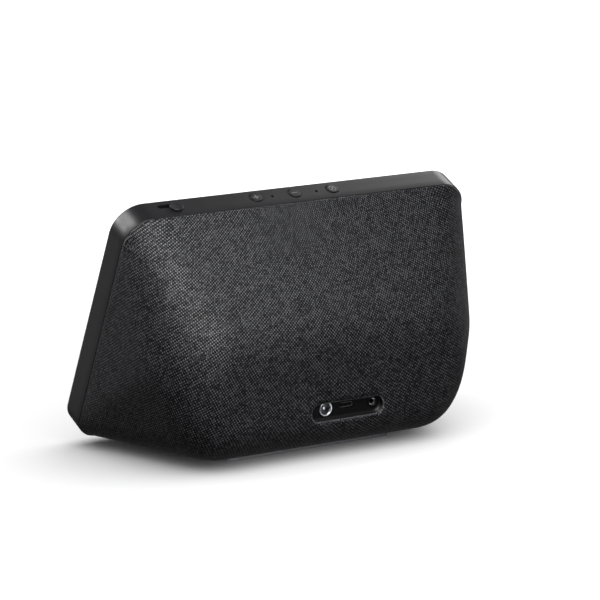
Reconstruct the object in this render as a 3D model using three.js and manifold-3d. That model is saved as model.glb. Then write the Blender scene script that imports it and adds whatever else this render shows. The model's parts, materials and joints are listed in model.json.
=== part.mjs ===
// Tabletop smart speaker with a tilted screen: a black plastic frame round the screen, and behind it
// a rounded body covered in stretched fabric, with the sockets in a recess low on its back.
// Millimetres. +Z is up, the screen faces -Y, and +X is on the right of someone facing the screen.
// The origin is on the table, under the middle of the whole object.

import * as THREE from "three";
import { ConvexGeometry } from "three/addons/geometries/ConvexGeometry.js";
import { mergeVertices } from "three/addons/utils/BufferGeometryUtils.js";
import Module from "manifold-3d";

const wasm = await Module();
wasm.setup();

// ---- Driving dimensions ----

const frameWidth = 200.4;
const frameHeight = 132; // up the slope of the screen
const frameDepth = 13.6; // from the front edge to the fabric
const frameTopRadius = 15.5;
const frameBottomRadius = 12;
const frameWall = 2.4;
const frameEdgeRound = 0.8;
const screenTilt = THREE.MathUtils.degToRad(25); // the screen leans back from upright
const frontEdgeHeight = 11.4; // of the frame's lower front edge above the table
const middleDepth = 50.7; // from the frame's lower front edge back to the middle of the object

const clearance = 0.3; // between pieces that touch or slide
const cornerSteps = 6;

const glassThickness = 1.2;
const glassSetBack = 0.3; // from the frame's front edge
const glassInset = 1.6;
const pocketDepth = 2.4;
const ledgeInset = 7;
const ledgeThickness = 1.5;

const keySpacing = 22.4;
const keyMiddle = 1.2; // across the frame
const keyDepth = 6.4; // of the keys' centres behind the front edge
const keyRadius = 3.3;
const flangeRadius = 3.9; // of the stop under each key's cap
const micHoleRadius = 0.65;
const micPlaces = [keyMiddle + 0.59 * keySpacing, keyMiddle - 0.57 * keySpacing];

const shutterTravel = 7.5;
const shutterRest = 69.7; // across the frame, with the camera uncovered
const shutterSlotDepth = 4.9;
const shutterSlotHalf = 1.35;
const knobRadius = 3.5;
const knobDepth = 7;

const fabricThickness = 0.8;
const housingWall = 2.4;
const housingInset = fabricThickness + clearance;
const innerInset = housingInset + housingWall;

const portMiddle = new THREE.Vector3(-6.3, 99.58, 25); // on the fabric, from the frame's lower front edge
const portTilt = THREE.MathUtils.degToRad(4.8); // the recess looks slightly down
const portLength = 43.5;
const portHeight = 10.5;
const portDepth = 3.3; // from the fabric to the floor of the recess
const dishLip = 1.5; // of the dish's front face below the fabric
const dishFloor = 1.7;
const dishRim = 2;

const footLength = 97;
const footWidth = 60;
const footRear = 75; // from the frame's lower front edge
const footThickness = 2;
const footRadius = 5;
const basePlateTop = 4.7;

const baffleFront = 82;
const baffleThickness = 2.2;
const driverHeight = 57;
const boxHalfHeight = 27; // of the box and the baffle, about the drivers
const driverOffset = 47;
const roundSteps = 20;

// The body is the skin stretched from the frame's back edge over three pairs of rounded masses.
// Each mass: how far out from the middle, how far back, how high, its radius and its upright radius.
const bodyMasses = [
  { out: 59, back: 62.6, up: 55.2, radius: 38.5, upright: 38.5 },
  { out: 66.7, back: 80, up: 45.8, radius: 20.6, upright: 40 },
  { out: 59.4, back: 79.3, up: 24.3, radius: 20.3, upright: 20.3 },
];

// ---- Materials ----

function finish(color, roughness, metalness) {
  return new THREE.MeshStandardMaterial({ color, roughness, metalness });
}

const satinBlack = finish(0x2a2a2c, 0.42, 0);
const innerBlack = finish(0x1c1c1e, 0.65, 0);
const charcoalFabric = finish(0x3b3b3f, 0.95, 0);
const blackGlass = finish(0x08080a, 0.06, 0);
const softRubber = finish(0x2d2d2e, 0.9, 0);
const brightMetal = finish(0xc8c9cc, 0.22, 1);
const sheetMetal = finish(0xa9abae, 0.4, 1);
const screwSteel = finish(0x55565a, 0.35, 1);
const circuitGreen = finish(0x1f4a33, 0.5, 0);
const ribbonAmber = finish(0x9a5a1e, 0.5, 0);
const paperCone = finish(0x232325, 0.8, 0);
const ferrite = finish(0x3a3a3c, 0.7, 0.2);
const panelGrey = finish(0x6d7074, 0.3, 0.3);

// ---- Solids ----

function solid(geometry) {
  const bare = geometry.index ? geometry.toNonIndexed() : geometry.clone();
  bare.deleteAttribute("normal");
  bare.deleteAttribute("uv");
  const merged = mergeVertices(bare, 1e-4);
  return new wasm.Manifold(
    new wasm.Mesh({
      numProp: 3,
      vertProperties: new Float32Array(merged.attributes.position.array),
      triVerts: new Uint32Array(merged.index.array),
    }),
  );
}

function surface(manifold) {
  const mesh = manifold.getMesh();
  const geometry = new THREE.BufferGeometry();
  geometry.setAttribute("position", new THREE.BufferAttribute(mesh.vertProperties, 3));
  geometry.setIndex(new THREE.BufferAttribute(mesh.triVerts, 1));
  geometry.computeVertexNormals();
  return geometry;
}

function cut(geometry, tools) {
  let left = solid(geometry);
  for (const tool of tools) {
    left = left.subtract(solid(tool));
  }
  return surface(left);
}

function join(geometries) {
  let whole = solid(geometries[0]);
  for (const geometry of geometries.slice(1)) {
    whole = whole.add(solid(geometry));
  }
  return surface(whole);
}

// A block from its lowest to its highest corner.
function block(low, high) {
  const size = high.map((value, axis) => value - low[axis]);
  const middle = high.map((value, axis) => (value + low[axis]) / 2);
  return new THREE.BoxGeometry(...size).translate(...middle);
}

// A rod standing along Z between two heights.
function rod(radius, from, to, x, y, steps = 16) {
  return new THREE.CylinderGeometry(radius, radius, to - from, steps)
    .rotateX(Math.PI / 2)
    .translate(x, y, (from + to) / 2);
}

// A rod lying along Y between two depths.
function bore(radius, from, to, x, z, steps = 20) {
  return new THREE.CylinderGeometry(radius, radius, to - from, steps).translate(x, (from + to) / 2, z);
}

// A flat shape drawn across X and Z, thick along Y.
function plate(shape, from, to, bevel = {}) {
  const options = { depth: to - from, bevelEnabled: false, curveSegments: cornerSteps, ...bevel };
  return new THREE.ExtrudeGeometry(shape, options).rotateX(Math.PI / 2).translate(0, to, 0);
}

// A flat shape drawn across X and Y, thick along Z.
function slab(shape, from, to) {
  const options = { depth: to - from, bevelEnabled: false, curveSegments: cornerSteps };
  return new THREE.ExtrudeGeometry(shape, options).translate(0, 0, from);
}

// A flat shape drawn across Y and Z, wide along X.
function beam(shape, from, to) {
  const turn = new THREE.Matrix4().makeBasis(
    new THREE.Vector3(0, 1, 0),
    new THREE.Vector3(0, 0, 1),
    new THREE.Vector3(1, 0, 0),
  );
  const options = { depth: to - from, bevelEnabled: false };
  return new THREE.ExtrudeGeometry(shape, options).applyMatrix4(turn).translate(from, 0, 0);
}

// A profile of [radius, distance along the axis] turned round the Y axis.
function turned(profile, steps = roundSteps) {
  const points = profile.map(([radius, along]) => new THREE.Vector2(radius, along));
  return new THREE.LatheGeometry(points, steps);
}

function polygon(points) {
  return new THREE.Shape(points.map(([x, y]) => new THREE.Vector2(x, y)));
}

// A thin strip of one thickness that follows a path across Y and Z.
function ribbon(path, thickness, from, to) {
  const back = path.map(([y, z], index) => {
    const before = path[Math.max(index - 1, 0)];
    const after = path[Math.min(index + 1, path.length - 1)];
    const along = new THREE.Vector2(after[0] - before[0], after[1] - before[1]).normalize();
    return [y - along.y * thickness, z + along.x * thickness];
  });
  return beam(polygon([...path, ...back.reverse()]), from, to);
}

// A rectangle with rounded corners, standing on its lower edge.
function roundedRectangle(width, height, topRadius, bottomRadius, lift) {
  const half = width / 2;
  const shape = new THREE.Shape();
  shape.moveTo(-half + bottomRadius, lift);
  shape.lineTo(half - bottomRadius, lift);
  shape.absarc(half - bottomRadius, lift + bottomRadius, bottomRadius, -Math.PI / 2, 0);
  shape.lineTo(half, lift + height - topRadius);
  shape.absarc(half - topRadius, lift + height - topRadius, topRadius, 0, Math.PI / 2);
  shape.lineTo(-half + topRadius, lift + height);
  shape.absarc(-half + topRadius, lift + height - topRadius, topRadius, Math.PI / 2, Math.PI);
  shape.lineTo(-half, lift + bottomRadius);
  shape.absarc(-half + bottomRadius, lift + bottomRadius, bottomRadius, Math.PI, 1.5 * Math.PI);
  return shape;
}

// The frame's outline, drawn in by an inset all round.
function frameOutline(inset) {
  return roundedRectangle(
    frameWidth - 2 * inset,
    frameHeight - 2 * inset,
    Math.max(frameTopRadius - inset, 1),
    Math.max(frameBottomRadius - inset, 1),
    inset,
  );
}

// A slot shape with round ends, centred on the origin.
function stadium(length, height) {
  const radius = height / 2;
  const end = length / 2 - radius;
  const shape = new THREE.Shape();
  shape.moveTo(-end, -radius);
  shape.lineTo(end, -radius);
  shape.absarc(end, 0, radius, -Math.PI / 2, Math.PI / 2);
  shape.lineTo(-end, radius);
  shape.absarc(-end, 0, radius, Math.PI / 2, 1.5 * Math.PI);
  return shape;
}

// A slot-shaped hollow that narrows along Y: each ring is [length, height, place along Y, lift along Z].
function taperedSlot(rings) {
  const points = rings.flatMap(([length, height, along, lift]) => {
    const outline = stadium(length, height).getPoints(cornerSteps);
    return outline.map((point) => new THREE.Vector3(point.x, along, point.y + lift));
  });
  return new ConvexGeometry(points);
}

// ---- Placing ----

const speaker = new THREE.Group();

// Pieces that follow the screen: X across, Y into the speaker, Z up the slope.
const tilted = new THREE.Group();
tilted.position.set(0, -middleDepth, frontEdgeHeight);
tilted.rotation.x = -screenTilt;
speaker.add(tilted);

// Pieces that stand upright: Y is counted from the frame's lower front edge, Z from the table.
const upright = new THREE.Group();
upright.position.y = -middleDepth;
speaker.add(upright);

// The socket recess: the origin is on the fabric and Y points out of it.
const port = new THREE.Group();
port.position.copy(portMiddle);
port.rotation.x = -portTilt;
upright.add(port);

function place(group, name, geometry, material) {
  const mesh = new THREE.Mesh(geometry, material);
  mesh.name = name;
  group.add(mesh);
  return mesh;
}

// Moves a geometry drawn in the recess's own frame into the upright frame.
function fromPort(geometry) {
  return geometry.rotateX(-portTilt).translate(portMiddle.x, portMiddle.y, portMiddle.z);
}

// A point of the tilted frame in the upright frame.
function uprightPoint(across, into, up) {
  const y = up * Math.sin(screenTilt) + into * Math.cos(screenTilt);
  const z = frontEdgeHeight + up * Math.cos(screenTilt) - into * Math.sin(screenTilt);
  return new THREE.Vector3(across, y, z);
}

// ---- Frame and screen ----

const ledgeBack = pocketDepth + ledgeThickness;
const innerTop = frameHeight - frameWall;
const keyPlaces = [keyMiddle + keySpacing, keyMiddle, keyMiddle - keySpacing];
const cameraPlace = shutterRest + shutterTravel;
const sensorPlace = 60;

function makeFrontFrame() {
  const edge = {
    bevelEnabled: true,
    bevelThickness: frameEdgeRound,
    bevelSize: frameEdgeRound,
    bevelOffset: -frameEdgeRound,
    bevelSegments: 2,
  };
  const outer = plate(frameOutline(0), frameEdgeRound, frameDepth - frameEdgeRound, edge);
  const pocket = plate(frameOutline(glassInset - clearance), -1, pocketDepth);
  const window = plate(frameOutline(ledgeInset), pocketDepth - 1, ledgeBack + 1);
  const cavity = plate(frameOutline(frameWall), ledgeBack, frameDepth + 1);
  const keyHoles = keyPlaces.map((place) =>
    rod(keyRadius + clearance, innerTop - 1, frameHeight + 1, place, keyDepth, 24),
  );
  const micHoles = micPlaces.map((place) =>
    rod(micHoleRadius, innerTop - 1, frameHeight + 1, place, keyDepth + 0.4, 12),
  );
  const slot = block(
    [shutterRest - 1.5, shutterSlotDepth - shutterSlotHalf, innerTop - 0.5],
    [shutterRest + shutterTravel + 1.8, shutterSlotDepth + shutterSlotHalf, frameHeight + 1],
  );
  const ledgeNotch = (middle, half, top) =>
    block([middle - half, pocketDepth - 0.5, innerTop - 6], [middle + half, ledgeBack + 0.5, top]);
  const notches = [
    ledgeNotch(cameraPlace, 4, innerTop - 1.2),
    ledgeNotch(sensorPlace, 1.7, innerTop - 2.6),
    ...keyPlaces.map((place) => ledgeNotch(place, flangeRadius + 0.7, innerTop)),
  ];
  return cut(outer, [pocket, window, cavity, ...keyHoles, ...micHoles, slot, ...notches]);
}

function makeGasket() {
  const ring = frameOutline(glassInset + 0.4);
  ring.holes.push(frameOutline(ledgeInset - 0.5));
  return plate(ring, pocketDepth - 0.6, pocketDepth - clearance);
}

function makeChassis() {
  const sheet = roundedRectangle(186, 113, 6, 6, 7);
  const openings = [-58, 0, 58].map((middle) => block([middle - 22, 7, 100], [middle + 22, 10, 112]));
  return cut(plate(sheet, 7.5, 8.7), openings);
}

place(tilted, "front_frame", makeFrontFrame(), satinBlack);
place(
  tilted,
  "cover_glass",
  plate(frameOutline(glassInset), glassSetBack, glassSetBack + glassThickness),
  blackGlass,
);
place(tilted, "display_gasket", makeGasket(), softRubber);
place(tilted, "lcd_panel", block([-91.5, 4.2, 6.5], [91.5, 7.2, 121.5]), panelGrey);
place(tilted, "display_chassis", makeChassis(), sheetMetal);

// ---- Camera and its shutter ----

const cameraHeight = frameHeight - 7.2;

function makeCameraModule() {
  const housing = block([-3.2, 6.4, -2.7], [3.2, 10, 2.7]);
  return housing.translate(cameraPlace, 0, cameraHeight);
}

function makeShutterSlider() {
  const knob = new THREE.CylinderGeometry(knobRadius - 0.3, knobRadius, 0.9, 28)
    .rotateX(Math.PI / 2)
    .translate(shutterRest, knobDepth, frameHeight + clearance + 0.45);
  const stem = block(
    [shutterRest - 1, shutterSlotDepth - 0.3, frameHeight - 3.3],
    [shutterRest + 1, shutterSlotDepth + 0.3, frameHeight + clearance + 0.4],
  );
  return join([knob, stem]);
}

place(tilted, "camera_module", makeCameraModule(), innerBlack);
place(tilted, "camera_lens", bore(1.8, 5.5, 6.1, cameraPlace, cameraHeight, 24), blackGlass);
place(
  tilted,
  "light_sensor",
  block([sensorPlace - 1.2, 4.3, cameraHeight - 1.2], [sensorPlace + 1.2, 5.5, cameraHeight + 1.2]),
  innerBlack,
);
place(tilted, "shutter_slider", makeShutterSlider(), satinBlack);
place(
  tilted,
  "shutter_blade",
  block(
    [shutterRest - 3.8, shutterSlotDepth - 0.25, frameHeight - 9.6],
    [shutterRest + 3.8, shutterSlotDepth + 0.25, frameHeight - 3.6],
  ),
  innerBlack,
);

// ---- Keys and microphones ----

const keyBoardTop = frameHeight - 8.6;
const switchTop = frameHeight - 5.7;

// A round cap through the frame's wall, a flange under it and a plunger above its switch.
function makeKey() {
  const profile = [
    [0, -5.1],
    [1.2, -5.1],
    [1.2, -3.5],
    [flangeRadius, -3.5],
    [flangeRadius, -frameWall - clearance],
    [keyRadius, -frameWall - clearance],
    [keyRadius, 0.25],
    [keyRadius - 0.3, 0.5],
    [0, 0.6],
  ];
  return turned(profile).rotateX(Math.PI / 2).translate(0, 0, frameHeight);
}

function makeSwitch() {
  const body = block([-2.3, -2.3, keyBoardTop + clearance], [2.3, 2.3, switchTop - 0.6]);
  return join([body, rod(1.1, switchTop - 1, switchTop, 0, 0)]);
}

function makeMicBoot() {
  const sleeve = rod(2, keyBoardTop + 1.7, innerTop - clearance, 0, 0);
  return cut(sleeve, [rod(0.8, keyBoardTop + 1, innerTop + 1, 0, 0)]);
}

const keyNames = ["volume_up_key", "volume_down_key", "mic_mute_key"];
keyPlaces.forEach((across, index) => {
  place(tilted, keyNames[index], makeKey().translate(across, keyDepth, 0), satinBlack);
  place(tilted, `key_switch_${index + 1}`, makeSwitch().translate(across, keyDepth, 0), innerBlack);
});
micPlaces.forEach((across, index) => {
  const capsule = block([-1.8, -1.4, keyBoardTop + clearance], [1.8, 1.4, keyBoardTop + 1.4]);
  place(tilted, `microphone_${index + 1}`, capsule.translate(across, keyDepth + 0.4, 0), sheetMetal);
  place(tilted, `mic_boot_${index + 1}`, makeMicBoot().translate(across, keyDepth + 0.4, 0), softRubber);
});
place(tilted, "key_board", block([-31, 4.4, keyBoardTop - 1], [33, 9.4, keyBoardTop]), circuitGreen);

// ---- Boards behind the screen ----

const boardScrewPlaces = [
  [-50, 33],
  [50, 33],
  [-50, 83],
  [50, 83],
];
const boardScrewRadius = 1.1;

function drilled(geometry, radius) {
  const holes = boardScrewPlaces.map(([across, up]) => bore(radius, 5, 30, across, up, 16));
  return cut(geometry, holes);
}

const spreader = block([-70, 11, 20], [70, 12.2, 95]);
const board = block([-56, 18, 28], [56, 19.4, 88]);
place(tilted, "heat_spreader", drilled(spreader, boardScrewRadius + clearance), sheetMetal);
place(tilted, "main_board", drilled(board, boardScrewRadius + clearance), circuitGreen);
place(tilted, "soc_shield", block([-18, 15.2, 44], [14, 17.7, 74]), brightMetal);
boardScrewPlaces.forEach(([across, up], index) => {
  const profile = [
    [0, 10.6],
    [boardScrewRadius, 10.6],
    [boardScrewRadius, 19.7],
    [2, 19.7],
    [2, 20.9],
    [0, 20.9],
  ];
  place(tilted, `board_screw_${index + 1}`, turned(profile, 16).translate(across, 0, up), screwSteel);
});
[-82, 82].forEach((across, index) => {
  const patch = block([across - 7, 11, 88], [across + 7, 11.6, 108]);
  place(tilted, `wifi_antenna_${index + 1}`, patch, ribbonAmber);
});
const displayPath = [
  [5, 5.7],
  [13.3, 5.7],
  [17.3, 27],
];
place(tilted, "display_flex", ribbon(displayPath, 0.3, -12, 12), ribbonAmber);

// ---- Body ----

const baseScrewPlaces = [
  [-38, 27],
  [38, 27],
  [-38, 63],
  [38, 63],
];
const baseScrewRadius = 1.5;

function massPoints(mass, side, inset) {
  const points = [];
  const ball = new THREE.SphereGeometry(1, 20, 12);
  const position = ball.getAttribute("position");
  for (let index = 0; index < position.count; index += 1) {
    const point = new THREE.Vector3().fromBufferAttribute(position, index);
    point.multiply(new THREE.Vector3(mass.radius - inset, mass.radius - inset, 1));
    points.push(
      new THREE.Vector3(
        side * mass.out + point.x,
        mass.back + point.y,
        mass.up + point.z * (mass.upright - inset),
      ),
    );
  }
  return points;
}

// How far a point of the upright frame lies behind the frame's front face.
function depthBehindScreen(point) {
  return point.y * Math.cos(screenTilt) - (point.z - frontEdgeHeight) * Math.sin(screenTilt);
}

// The body's skin, drawn in by an inset; reach carries it forward past the frame's back face.
function bodyHull(inset, reach = 0) {
  const start = frameDepth + clearance;
  const outline = frameOutline(inset + 0.1).getPoints(cornerSteps);
  const points = [];
  for (const into of new Set([start, start - reach])) {
    points.push(...outline.map((point) => uprightPoint(point.x, into, point.y)));
  }
  for (const mass of bodyMasses) {
    for (const side of [-1, 1]) {
      const ball = massPoints(mass, side, inset);
      points.push(...ball.filter((point) => depthBehindScreen(point) > start - reach));
    }
  }
  return new ConvexGeometry(points);
}

function portOpening(extra) {
  return fromPort(plate(stadium(portLength + extra, portHeight + extra), -12, 6));
}

function baseOutline(extra) {
  return roundedRectangle(
    footLength + 2 * extra,
    footWidth + 2 * extra,
    footRadius + extra,
    footRadius + extra,
    footRear - footWidth - extra,
  );
}

function makeHousing() {
  const shell = cut(bodyHull(housingInset), [bodyHull(innerInset, 4)]);
  const bosses = baseScrewPlaces.map(([x, y]) => rod(4, 7, 17, x, y));
  const pilots = baseScrewPlaces.map(([x, y]) => rod(baseScrewRadius + clearance, 2, 15.5, x, y));
  return cut(join([shell, ...bosses]), [...pilots, portOpening(2 * dishRim + 2 * clearance)]);
}

function makeFabric() {
  const skin = cut(bodyHull(0), [bodyHull(fabricThickness, 4)]);
  return cut(skin, [portOpening(0), slab(baseOutline(1.5), 1, 10)]);
}

function makeBasePlate() {
  const counterbores = baseScrewPlaces.map(([x, y]) => rod(3, 1, footThickness + 2.1, x, y));
  const holes = baseScrewPlaces.map(([x, y]) => rod(baseScrewRadius + clearance, 1, 8, x, y));
  return cut(slab(baseOutline(0), footThickness + clearance, basePlateTop), [...counterbores, ...holes]);
}

place(upright, "rear_housing", makeHousing(), innerBlack);
place(upright, "fabric_cover", makeFabric(), charcoalFabric);
place(upright, "base_plate", makeBasePlate(), innerBlack);
place(upright, "rubber_foot", slab(baseOutline(0), 0, footThickness), softRubber);
baseScrewPlaces.forEach(([x, y], index) => {
  const profile = [
    [0, 2.7],
    [2.6, 2.7],
    [2.6, 3.8],
    [baseScrewRadius, 3.8],
    [baseScrewRadius, 14],
    [0, 14],
  ];
  const screw = turned(profile, 16).rotateX(Math.PI / 2).translate(x, y, 0);
  place(upright, `base_screw_${index + 1}`, screw, screwSteel);
});

// ---- Sockets ----

const powerPlace = [12, 1.1];
const usbPlace = [-1.1, 1.2];
const audioPlace = [-16.4, 0.8];
const floorFront = -portDepth;
const floorBack = floorFront - dishFloor;

function makeDish() {
  const outer = plate(stadium(portLength + 2 * dishRim, portHeight + 2 * dishRim), floorBack, -dishLip);
  const slope = 1.5; // how far the lower wall runs in, while the upper wall stays steep
  const recess = taperedSlot([
    [portLength - slope, portHeight - slope, floorFront, slope / 2 - 0.05],
    [portLength, portHeight, -dishLip + 0.01, 0],
    [portLength, portHeight, 1, 0],
  ]);
  const powerHole = bore(4, -8, 0, ...powerPlace, 28);
  const usbHole = plate(stadium(8.4, 3.2), -8, 0).translate(usbPlace[0], 0, usbPlace[1]);
  const audioHole = bore(3.1, -8, 0, ...audioPlace, 24);
  return cut(outer, [recess, powerHole, usbHole, audioHole]);
}

function makePowerJack() {
  const profile = [
    [0, -14],
    [3.7, -14],
    [3.7, floorFront + 0.9],
    [3.4, floorFront + 1.2],
    [2.75, floorFront + 0.6],
    [2.75, -13],
    [0.95, -13],
    [0.95, -13.4],
    [0, -13.4],
  ];
  return turned(profile).translate(powerPlace[0], 0, powerPlace[1]);
}

function makePowerPin() {
  const profile = [
    [0, -13.1],
    [0.85, -13.1],
    [0.85, floorFront - 0.9],
    [0.5, floorFront - 0.4],
    [0, floorFront - 0.4],
  ];
  return turned(profile, 16).translate(powerPlace[0], 0, powerPlace[1]);
}

function makeUsbShell() {
  const shell = plate(stadium(7.8, 2.6), -9, floorFront - 0.8);
  const mouth = plate(stadium(7, 1.8), -8.4, 0);
  return cut(shell, [mouth]).translate(usbPlace[0], 0, usbPlace[1]);
}

function makeUsbTongue() {
  return block([-2.4, -8.1, -0.3], [2.4, floorFront - 1.4, 0.3]).translate(usbPlace[0], 0, usbPlace[1]);
}

function makeAudioJack() {
  const profile = [
    [0, -14],
    [2.8, -14],
    [2.8, floorFront + 0.1],
    [1.8, floorFront + 0.1],
    [1.8, -13],
    [0, -13],
  ];
  return turned(profile).translate(audioPlace[0], 0, audioPlace[1]);
}

place(port, "port_panel", makeDish(), satinBlack);
place(port, "dc_jack", makePowerJack(), brightMetal);
place(port, "dc_jack_pin", makePowerPin(), brightMetal);
place(port, "usb_shell", makeUsbShell(), brightMetal);
place(port, "usb_tongue", makeUsbTongue(), innerBlack);
place(port, "audio_jack", makeAudioJack(), innerBlack);
place(port, "port_board", block([-23, -15.6, -7], [20, -14.4, 7]), circuitGreen);
const portPath = [
  [81, 15],
  [46, 12.4],
  [32.5, 27],
];
place(upright, "port_flex", ribbon(portPath, 0.3, -16, 4), ribbonAmber);

// ---- Loudspeakers ----

const baffleBack = baffleFront - baffleThickness;

function makeBaffle() {
  const sheet = roundedRectangle(144, 2 * boxHalfHeight, 8, 8, driverHeight - boxHalfHeight);
  const driverHoles = [-1, 1].map((side) => bore(19.8, 70, 90, side * driverOffset, driverHeight, 32));
  const radiatorHole = bore(15.5, 70, 90, 0, driverHeight, 32);
  return cut(plate(sheet, baffleBack, baffleFront), [...driverHoles, radiatorHole]);
}

// A tub whose front wall runs parallel to the screen, open towards the baffle.
function makeSpeakerBox() {
  const low = driverHeight - boxHalfHeight;
  const high = driverHeight + boxHalfHeight;
  const lean = (high - low) * Math.tan(screenTilt);
  const front = 38.5;
  const outer = polygon([
    [front, low],
    [baffleBack - clearance, low],
    [baffleBack - clearance, high],
    [front + lean, high],
  ]);
  const wall = 1.8;
  const inner = polygon([
    [front + wall * 2, low + wall],
    [baffleFront, low + wall],
    [baffleFront, high - wall],
    [front + lean + wall, high - wall],
  ]);
  return cut(beam(outer, -70, 70), [beam(inner, -70 + wall, 70 - wall)]);
}

function makeBasket() {
  return turned([
    [9.2, 70],
    [13.2, 70],
    [19.3, 81],
    [19.3, baffleFront + clearance],
    [23, baffleFront + clearance],
    [23, baffleFront + 1.8],
    [18, baffleFront + 1.8],
    [18, 81.5],
    [12.4, 71.2],
    [9.2, 71.2],
    [9.2, 70],
  ]);
}

function makeMagnet() {
  return turned([
    [0, 60.5],
    [12.5, 60.5],
    [12.5, 69.7],
    [8.3, 69.7],
    [8.3, 63.5],
    [6.4, 63.5],
    [6.4, 69.7],
    [0, 69.7],
  ]);
}

function makeCone() {
  return turned([
    [0, 76.2],
    [6.9, 74],
    [6.9, 66],
    [7.6, 66],
    [7.6, 73.4],
    [17.2, 82.4],
    [17.2, 83],
    [7.4, 74.6],
    [0, 76.9],
  ]);
}

// A half roll of rubber between a moving edge and a fixed one, standing on a seat.
function makeSurround(inner, outer, seat) {
  const middle = (inner + outer) / 2;
  const rise = (outer - inner) / 2;
  return turned([
    [inner, seat],
    [inner, seat + 0.6],
    [middle - 0.4 * rise, seat + rise],
    [middle + 0.4 * rise, seat + rise],
    [outer, seat + 0.6],
    [outer, seat],
    [outer - 0.6, seat],
    [middle + 0.3 * rise, seat + rise - 0.6],
    [middle - 0.3 * rise, seat + rise - 0.6],
    [inner + 0.6, seat],
    [inner, seat],
  ].reverse());
}

function makeRadiator() {
  return turned([
    [0, baffleFront + clearance],
    [12, baffleFront + clearance],
    [12, baffleFront + 1.2],
    [9.5, baffleFront + 2.2],
    [0, baffleFront + 2.6],
  ]);
}

place(upright, "speaker_box", makeSpeakerBox(), innerBlack);
place(upright, "speaker_baffle", makeBaffle(), innerBlack);
[
  ["left", -driverOffset],
  ["right", driverOffset],
].forEach(([side, across]) => {
  const pieces = {
    basket: [makeBasket(), sheetMetal],
    magnet: [makeMagnet(), ferrite],
    cone: [makeCone(), paperCone],
    surround: [makeSurround(17.5, 21.5, baffleFront + 2.1), softRubber],
  };
  for (const [piece, [geometry, material]] of Object.entries(pieces)) {
    place(upright, `${side}_${piece}`, geometry.translate(across, 0, driverHeight), material);
  }
});
place(upright, "radiator_diaphragm", makeRadiator().translate(0, 0, driverHeight), paperCone);
const radiatorRoll = makeSurround(12.3, 17.8, baffleFront + clearance);
place(upright, "radiator_surround", radiatorRoll.translate(0, 0, driverHeight), softRubber);

export default speaker;
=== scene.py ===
import json
import math
from functools import partial

import bmesh
import bpy
import numpy as np
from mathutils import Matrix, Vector
from mathutils.bvhtree import BVHTree


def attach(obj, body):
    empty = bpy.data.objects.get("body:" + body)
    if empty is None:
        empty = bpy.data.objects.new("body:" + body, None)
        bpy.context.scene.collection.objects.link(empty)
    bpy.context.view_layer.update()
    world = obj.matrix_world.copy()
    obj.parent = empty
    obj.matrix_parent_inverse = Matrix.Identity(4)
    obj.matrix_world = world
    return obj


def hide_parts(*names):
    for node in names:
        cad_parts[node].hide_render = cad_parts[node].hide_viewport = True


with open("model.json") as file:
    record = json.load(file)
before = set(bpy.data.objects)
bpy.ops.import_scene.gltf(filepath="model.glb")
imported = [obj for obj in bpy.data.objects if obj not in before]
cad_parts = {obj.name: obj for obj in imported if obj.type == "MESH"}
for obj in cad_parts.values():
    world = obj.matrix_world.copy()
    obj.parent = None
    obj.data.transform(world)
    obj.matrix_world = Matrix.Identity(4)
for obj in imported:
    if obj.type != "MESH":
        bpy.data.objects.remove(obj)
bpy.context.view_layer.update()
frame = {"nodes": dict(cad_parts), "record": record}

# the shape that every piece is worked out from, in millimetres, as the frame has it
form = {
    "width": 200.4,
    "height": 132.0,  # up the slope of the screen
    "depth": 13.6,  # front edge to fabric
    "topRadius": 15.5,
    "bottomRadius": 12.0,
    "lean": math.radians(25.0),
    "edgeHeight": 11.4,  # lower front edge above the table
    "middle": 50.7,  # lower front edge to the middle
    "masses": [  # the rounded masses under the cloth: out, back, up, radius, upright radius
        (59.0, 62.6, 55.2, 38.5, 38.5),
        (66.7, 80.0, 45.8, 20.6, 40.0),
        (59.4, 79.3, 24.3, 20.3, 20.3),
    ],
}


# ------ places ------
def onTilt(across, into, up):
    s, c = math.sin(form["lean"]), math.cos(form["lean"])
    return (across, up * s + into * c - form["middle"], form["edgeHeight"] + up * c - into * s)


def onBody(x, y, z):
    return (x, y - form["middle"], z)


def outlinePoints(inset, cornerSteps, sideSteps):
    half, low, high = form["width"] / 2 - inset, inset, form["height"] - inset
    top, bottom = max(form["topRadius"] - inset, 0.6), max(form["bottomRadius"] - inset, 0.6)
    corners = [
        (half - bottom, low + bottom, bottom, -90),
        (half - top, high - top, top, 0),
        (-half + top, high - top, top, 90),
        (-half + bottom, low + bottom, bottom, 180),
    ]
    points = []
    for index, (x, y, radius, start) in enumerate(corners):
        for step in range(cornerSteps + 1):
            angle = math.radians(start + 90 * step / cornerSteps)
            points.append((x + radius * math.cos(angle), y + radius * math.sin(angle)))
        nextX, nextY, nextRadius, nextStart = corners[(index + 1) % 4]
        turn = math.radians(nextStart)
        goal = (nextX + nextRadius * math.cos(turn), nextY + nextRadius * math.sin(turn))
        last = points[-1]
        for step in range(1, sideSteps):
            share = step / sideSteps
            points.append((last[0] + (goal[0] - last[0]) * share, last[1] + (goal[1] - last[1]) * share))
    return points


def stadiumPoints(length, height, arcSteps=24, sideSteps=10):
    radius, end = height / 2, (length - height) / 2
    points = []
    for side, start in ((1, -90), (-1, 90)):
        for step in range(arcSteps + 1):
            angle = math.radians(start + 180 * step / arcSteps)
            points.append((side * end + radius * math.cos(angle), radius * math.sin(angle)))
        for step in range(1, sideSteps):
            points.append((side * end * (1 - 2 * step / sideSteps), side * radius))
    return points


# ------ mesh makers ------
sharpAngle = math.radians(35)  # edges sharper than this stay crisp


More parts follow.
